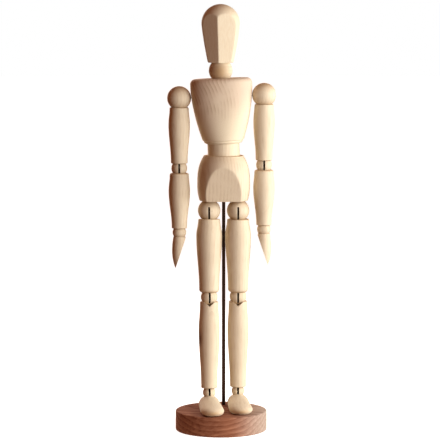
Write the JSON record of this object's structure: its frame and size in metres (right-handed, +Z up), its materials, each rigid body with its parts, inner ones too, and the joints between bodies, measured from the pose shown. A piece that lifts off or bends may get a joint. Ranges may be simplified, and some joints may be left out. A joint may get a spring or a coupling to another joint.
{
  "type": "wooden artist mannequin",
  "caption": "Jointed wooden figure on a round base, with turned limbs, ball joints held by springs and a steel support rod, for drawing poses.",
  "frame": {"origin": "centre of the base's flat underside", "axes": "+Z up, the figure faces -Y, +X is the figure's left side"},
  "size_m": [0.0779, 0.0654, 0.3043],
  "materials": {
    "figure_wood": "fine-sanded pale wood",
    "base_wood": "satin red-brown wood",
    "steel_wire": "dark drawn steel"
  },
  "bodies": {
    "stand": {"base": "base_wood", "support_rod": "steel_wire"},
    "hips": {"pelvis": "figure_wood", "hip_link": "steel_wire"},
    "waist": {"waist_ball": "figure_wood", "waist_pin": "steel_wire"},
    "torso": {"chest": "figure_wood", "torso_spring": "steel_wire", "shoulder_spring": "steel_wire"},
    "neck": {"neck_ball": "figure_wood", "neck_pin": "steel_wire"},
    "head": {"head": "figure_wood"},
    "left_shoulder": {"left_shoulder_ball": "figure_wood", "left_shoulder_pin": "steel_wire"},
    "left_upper_arm": {"left_upper_arm": "figure_wood", "left_upper_arm_spring": "steel_wire"},
    "left_elbow": {"left_elbow_ball": "figure_wood", "left_elbow_pin": "steel_wire"},
    "left_forearm": {"left_forearm": "figure_wood", "left_forearm_spring": "steel_wire"},
    "left_wrist": {"left_wrist_ball": "figure_wood", "left_wrist_pin": "steel_wire"},
    "left_hand": {"left_hand": "figure_wood"},
    "left_hip": {"left_hip_ball": "figure_wood", "left_hip_pin": "steel_wire"},
    "left_thigh": {"left_thigh": "figure_wood", "left_thigh_spring": "steel_wire"},
    "left_knee": {"left_knee_ball": "figure_wood", "left_knee_pin": "steel_wire"},
    "left_shin": {"left_shin": "figure_wood", "left_shin_spring": "steel_wire"},
    "left_ankle": {"left_ankle_ball": "figure_wood", "left_ankle_pin": "steel_wire"},
    "left_foot": {"left_foot": "figure_wood"},
    "right_shoulder": {"right_shoulder_ball": "figure_wood", "right_shoulder_pin": "steel_wire"},
    "right_upper_arm": {"right_upper_arm": "figure_wood", "right_upper_arm_spring": "steel_wire"},
    "right_elbow": {"right_elbow_ball": "figure_wood", "right_elbow_pin": "steel_wire"},
    "right_forearm": {"right_forearm": "figure_wood", "right_forearm_spring": "steel_wire"},
    "right_wrist": {"right_wrist_ball": "figure_wood", "right_wrist_pin": "steel_wire"},
    "right_hand": {"right_hand": "figure_wood"},
    "right_hip": {"right_hip_ball": "figure_wood", "right_hip_pin": "steel_wire"},
    "right_thigh": {"right_thigh": "figure_wood", "right_thigh_spring": "steel_wire"},
    "right_knee": {"right_knee_ball": "figure_wood", "right_knee_pin": "steel_wire"},
    "right_shin": {"right_shin": "figure_wood", "right_shin_spring": "steel_wire"},
    "right_ankle": {"right_ankle_ball": "figure_wood", "right_ankle_pin": "steel_wire"},
    "right_foot": {"right_foot": "figure_wood"}
  },
  "joints": [
    {"name": "figure_turn", "type": "hinge", "parent": "stand", "child": "hips", "pos_m": [0.0018, 0.02, 0], "axis": [0, 0, 1], "range_deg": [-90, 90]},
    {"name": "waist_turn", "type": "hinge", "parent": "hips", "child": "waist", "pos_m": [0.0018, 0.0145, 0.2006], "axis": [-0.0384, 0, 0.9993], "range_deg": [-35, 35]},
    {"name": "waist_bend", "type": "hinge", "parent": "waist", "child": "torso", "pos_m": [0.0018, 0.0145, 0.2006], "axis": [0.9993, 0, 0.0384], "range_deg": [-20, 25]},
    {"name": "neck_nod", "type": "hinge", "parent": "torso", "child": "neck", "pos_m": [-0.00036, 0.0145, 0.25696], "axis": [0.9993, 0, 0.0384], "range_deg": [-20, 25]},
    {"name": "head_turn", "type": "hinge", "parent": "neck", "child": "head", "pos_m": [-0.00036, 0.0145, 0.25696], "axis": [-0.0384, 0, 0.9993], "range_deg": [-50, 70]},
    {"name": "left_shoulder_swing", "type": "hinge", "parent": "torso", "child": "left_shoulder", "pos_m": [0.03073, 0.0145, 0.23954], "axis": [-0.9993, 0, -0.0384], "range_deg": [-45, 120]},
    {"name": "left_shoulder_raise", "type": "hinge", "parent": "left_shoulder", "child": "left_upper_arm", "pos_m": [0.03073, 0.0145, 0.23954], "axis": [0, -1, 0], "range_deg": [0, 75]},
    {"name": "left_elbow_turn", "type": "hinge", "parent": "left_upper_arm", "child": "left_elbow", "pos_m": [0.03073, 0.0145, 0.18934], "axis": [0, 0, 1], "range_deg": [-25, 25]},
    {"name": "left_elbow_bend", "type": "hinge", "parent": "left_elbow", "child": "left_forearm", "pos_m": [0.03073, 0.0145, 0.18934], "axis": [-1, 0, 0], "range_deg": [0, 45]},
    {"name": "left_wrist_bend", "type": "hinge", "parent": "left_forearm", "child": "left_wrist", "pos_m": [0.03073, 0.0145, 0.14304], "axis": [0, 1, 0], "range_deg": [-20, 20]},
    {"name": "left_hand_turn", "type": "hinge", "parent": "left_wrist", "child": "left_hand", "pos_m": [0.03073, 0.0145, 0.14304], "axis": [0, 0, 1], "range_deg": [-80, 80]},
    {"name": "left_hip_spread", "type": "hinge", "parent": "hips", "child": "left_hip", "pos_m": [0.0122, 0.0145, 0.1566], "axis": [0, -1, 0], "range_deg": [0, 13]},
    {"name": "left_hip_swing", "type": "hinge", "parent": "left_hip", "child": "left_thigh", "pos_m": [0.0122, 0.0145, 0.1566], "axis": [-1, 0, 0], "range_deg": [0, 65]},
    {"name": "left_knee_turn", "type": "hinge", "parent": "left_thigh", "child": "left_knee", "pos_m": [0.0122, 0.0145, 0.0942], "axis": [0, 0, 1], "range_deg": [0, 25]},
    {"name": "left_knee_bend", "type": "hinge", "parent": "left_knee", "child": "left_shin", "pos_m": [0.0122, 0.0145, 0.0942], "axis": [1, 0, 0], "range_deg": [0, 40]},
    {"name": "left_ankle_tilt", "type": "hinge", "parent": "left_shin", "child": "left_ankle", "pos_m": [0.0122, 0.0145, 0.0253], "axis": [1, 0, 0], "range_deg": [-40, 0]},
    {"name": "left_foot_turn", "type": "hinge", "parent": "left_ankle", "child": "left_foot", "pos_m": [0.0122, 0.0145, 0.0253], "axis": [0, 0, 1], "range_deg": [-4, 21]},
    {"name": "right_shoulder_swing", "type": "hinge", "parent": "torso", "child": "right_shoulder", "pos_m": [-0.03003, 0.0145, 0.2372], "axis": [-0.9993, 0, -0.0384], "range_deg": [-45, 120]},
    {"name": "right_shoulder_raise", "type": "hinge", "parent": "right_shoulder", "child": "right_upper_arm", "pos_m": [-0.03003, 0.0145, 0.2372], "axis": [0, 1, 0], "range_deg": [0, 75]},
    {"name": "right_elbow_turn", "type": "hinge", "parent": "right_upper_arm", "child": "right_elbow", "pos_m": [-0.03003, 0.0145, 0.18701], "axis": [0, 0, -1], "range_deg": [-25, 25]},
    {"name": "right_elbow_bend", "type": "hinge", "parent": "right_elbow", "child": "right_forearm", "pos_m": [-0.03003, 0.0145, 0.18701], "axis": [-1, 0, 0], "range_deg": [0, 45]},
    {"name": "right_wrist_bend", "type": "hinge", "parent": "right_forearm", "child": "right_wrist", "pos_m": [-0.03003, 0.0145, 0.1407], "axis": [0, -1, 0], "range_deg": [-20, 20]},
    {"name": "right_hand_turn", "type": "hinge", "parent": "right_wrist", "child": "right_hand", "pos_m": [-0.03003, 0.0145, 0.1407], "axis": [0, 0, -1], "range_deg": [-80, 80]},
    {"name": "right_hip_spread", "type": "hinge", "parent": "hips", "child": "right_hip", "pos_m": [-0.0086, 0.0145, 0.1566], "axis": [0, 1, 0], "range_deg": [0, 13]},
    {"name": "right_hip_swing", "type": "hinge", "parent": "right_hip", "child": "right_thigh", "pos_m": [-0.0086, 0.0145, 0.1566], "axis": [-1, 0, 0], "range_deg": [0, 61.5]},
    {"name": "right_knee_turn", "type": "hinge", "parent": "right_thigh", "child": "right_knee", "pos_m": [-0.0086, 0.01069, 0.09432], "axis": [0, -0.061, -0.9981], "range_deg": [0, 29]},
    {"name": "right_knee_bend", "type": "hinge", "parent": "right_knee", "child": "right_shin", "pos_m": [-0.0086, 0.01069, 0.09432], "axis": [0.9976, 0.0696, -0.0043], "range_deg": [0, 40]},
    {"name": "right_ankle_tilt", "type": "hinge", "parent": "right_shin", "child": "right_ankle", "pos_m": [-0.0086, 0.00648, 0.02555], "axis": [0.9976, 0.0698, 0], "range_deg": [-40, 0]},
    {"name": "right_foot_turn", "type": "hinge", "parent": "right_ankle", "child": "right_foot", "pos_m": [-0.0086, 0.00648, 0.02555], "axis": [0, 0, -1], "range_deg": [0, 30]}
  ],
  "couplings": [
    {"joint": "left_ankle_tilt", "follows": "left_knee_bend", "ratio": -1},
    {"joint": "right_ankle_tilt", "follows": "right_knee_bend", "ratio": -1}
  ]
}
